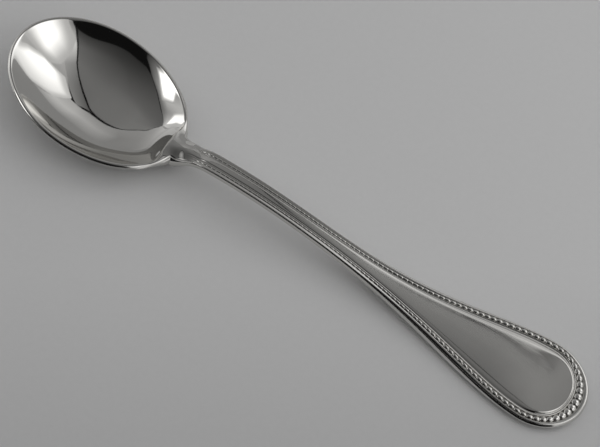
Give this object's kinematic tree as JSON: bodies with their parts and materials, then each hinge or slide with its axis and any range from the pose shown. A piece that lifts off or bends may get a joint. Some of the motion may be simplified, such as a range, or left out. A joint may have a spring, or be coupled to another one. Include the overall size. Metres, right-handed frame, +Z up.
{
  "type": "sugar spoon",
  "caption": "Polished steel sugar spoon with a deep oval bowl, slim arched stem and rounded blade handle edged with a bead border.",
  "frame": {"origin": "middle of the spoon's footprint, on the plane it rests on", "axes": "+X along the length towards the handle's tip, +Z up out of the bowl, y = 0 is the plane of symmetry"},
  "size_m": [0.155, 0.034, 0.0112],
  "materials": {
    "bowl_steel": "mirror polished stainless steel with faint use marks",
    "handle_steel": "bright polished stainless steel with fine scratches",
    "bead_steel": "die-struck stainless steel, bright on the beads and dull in the channel"
  },
  "bodies": {
    "root": {"bowl": "bowl_steel", "handle": "handle_steel", "bead_border": "bead_steel"}
  },
  "joints": []
}
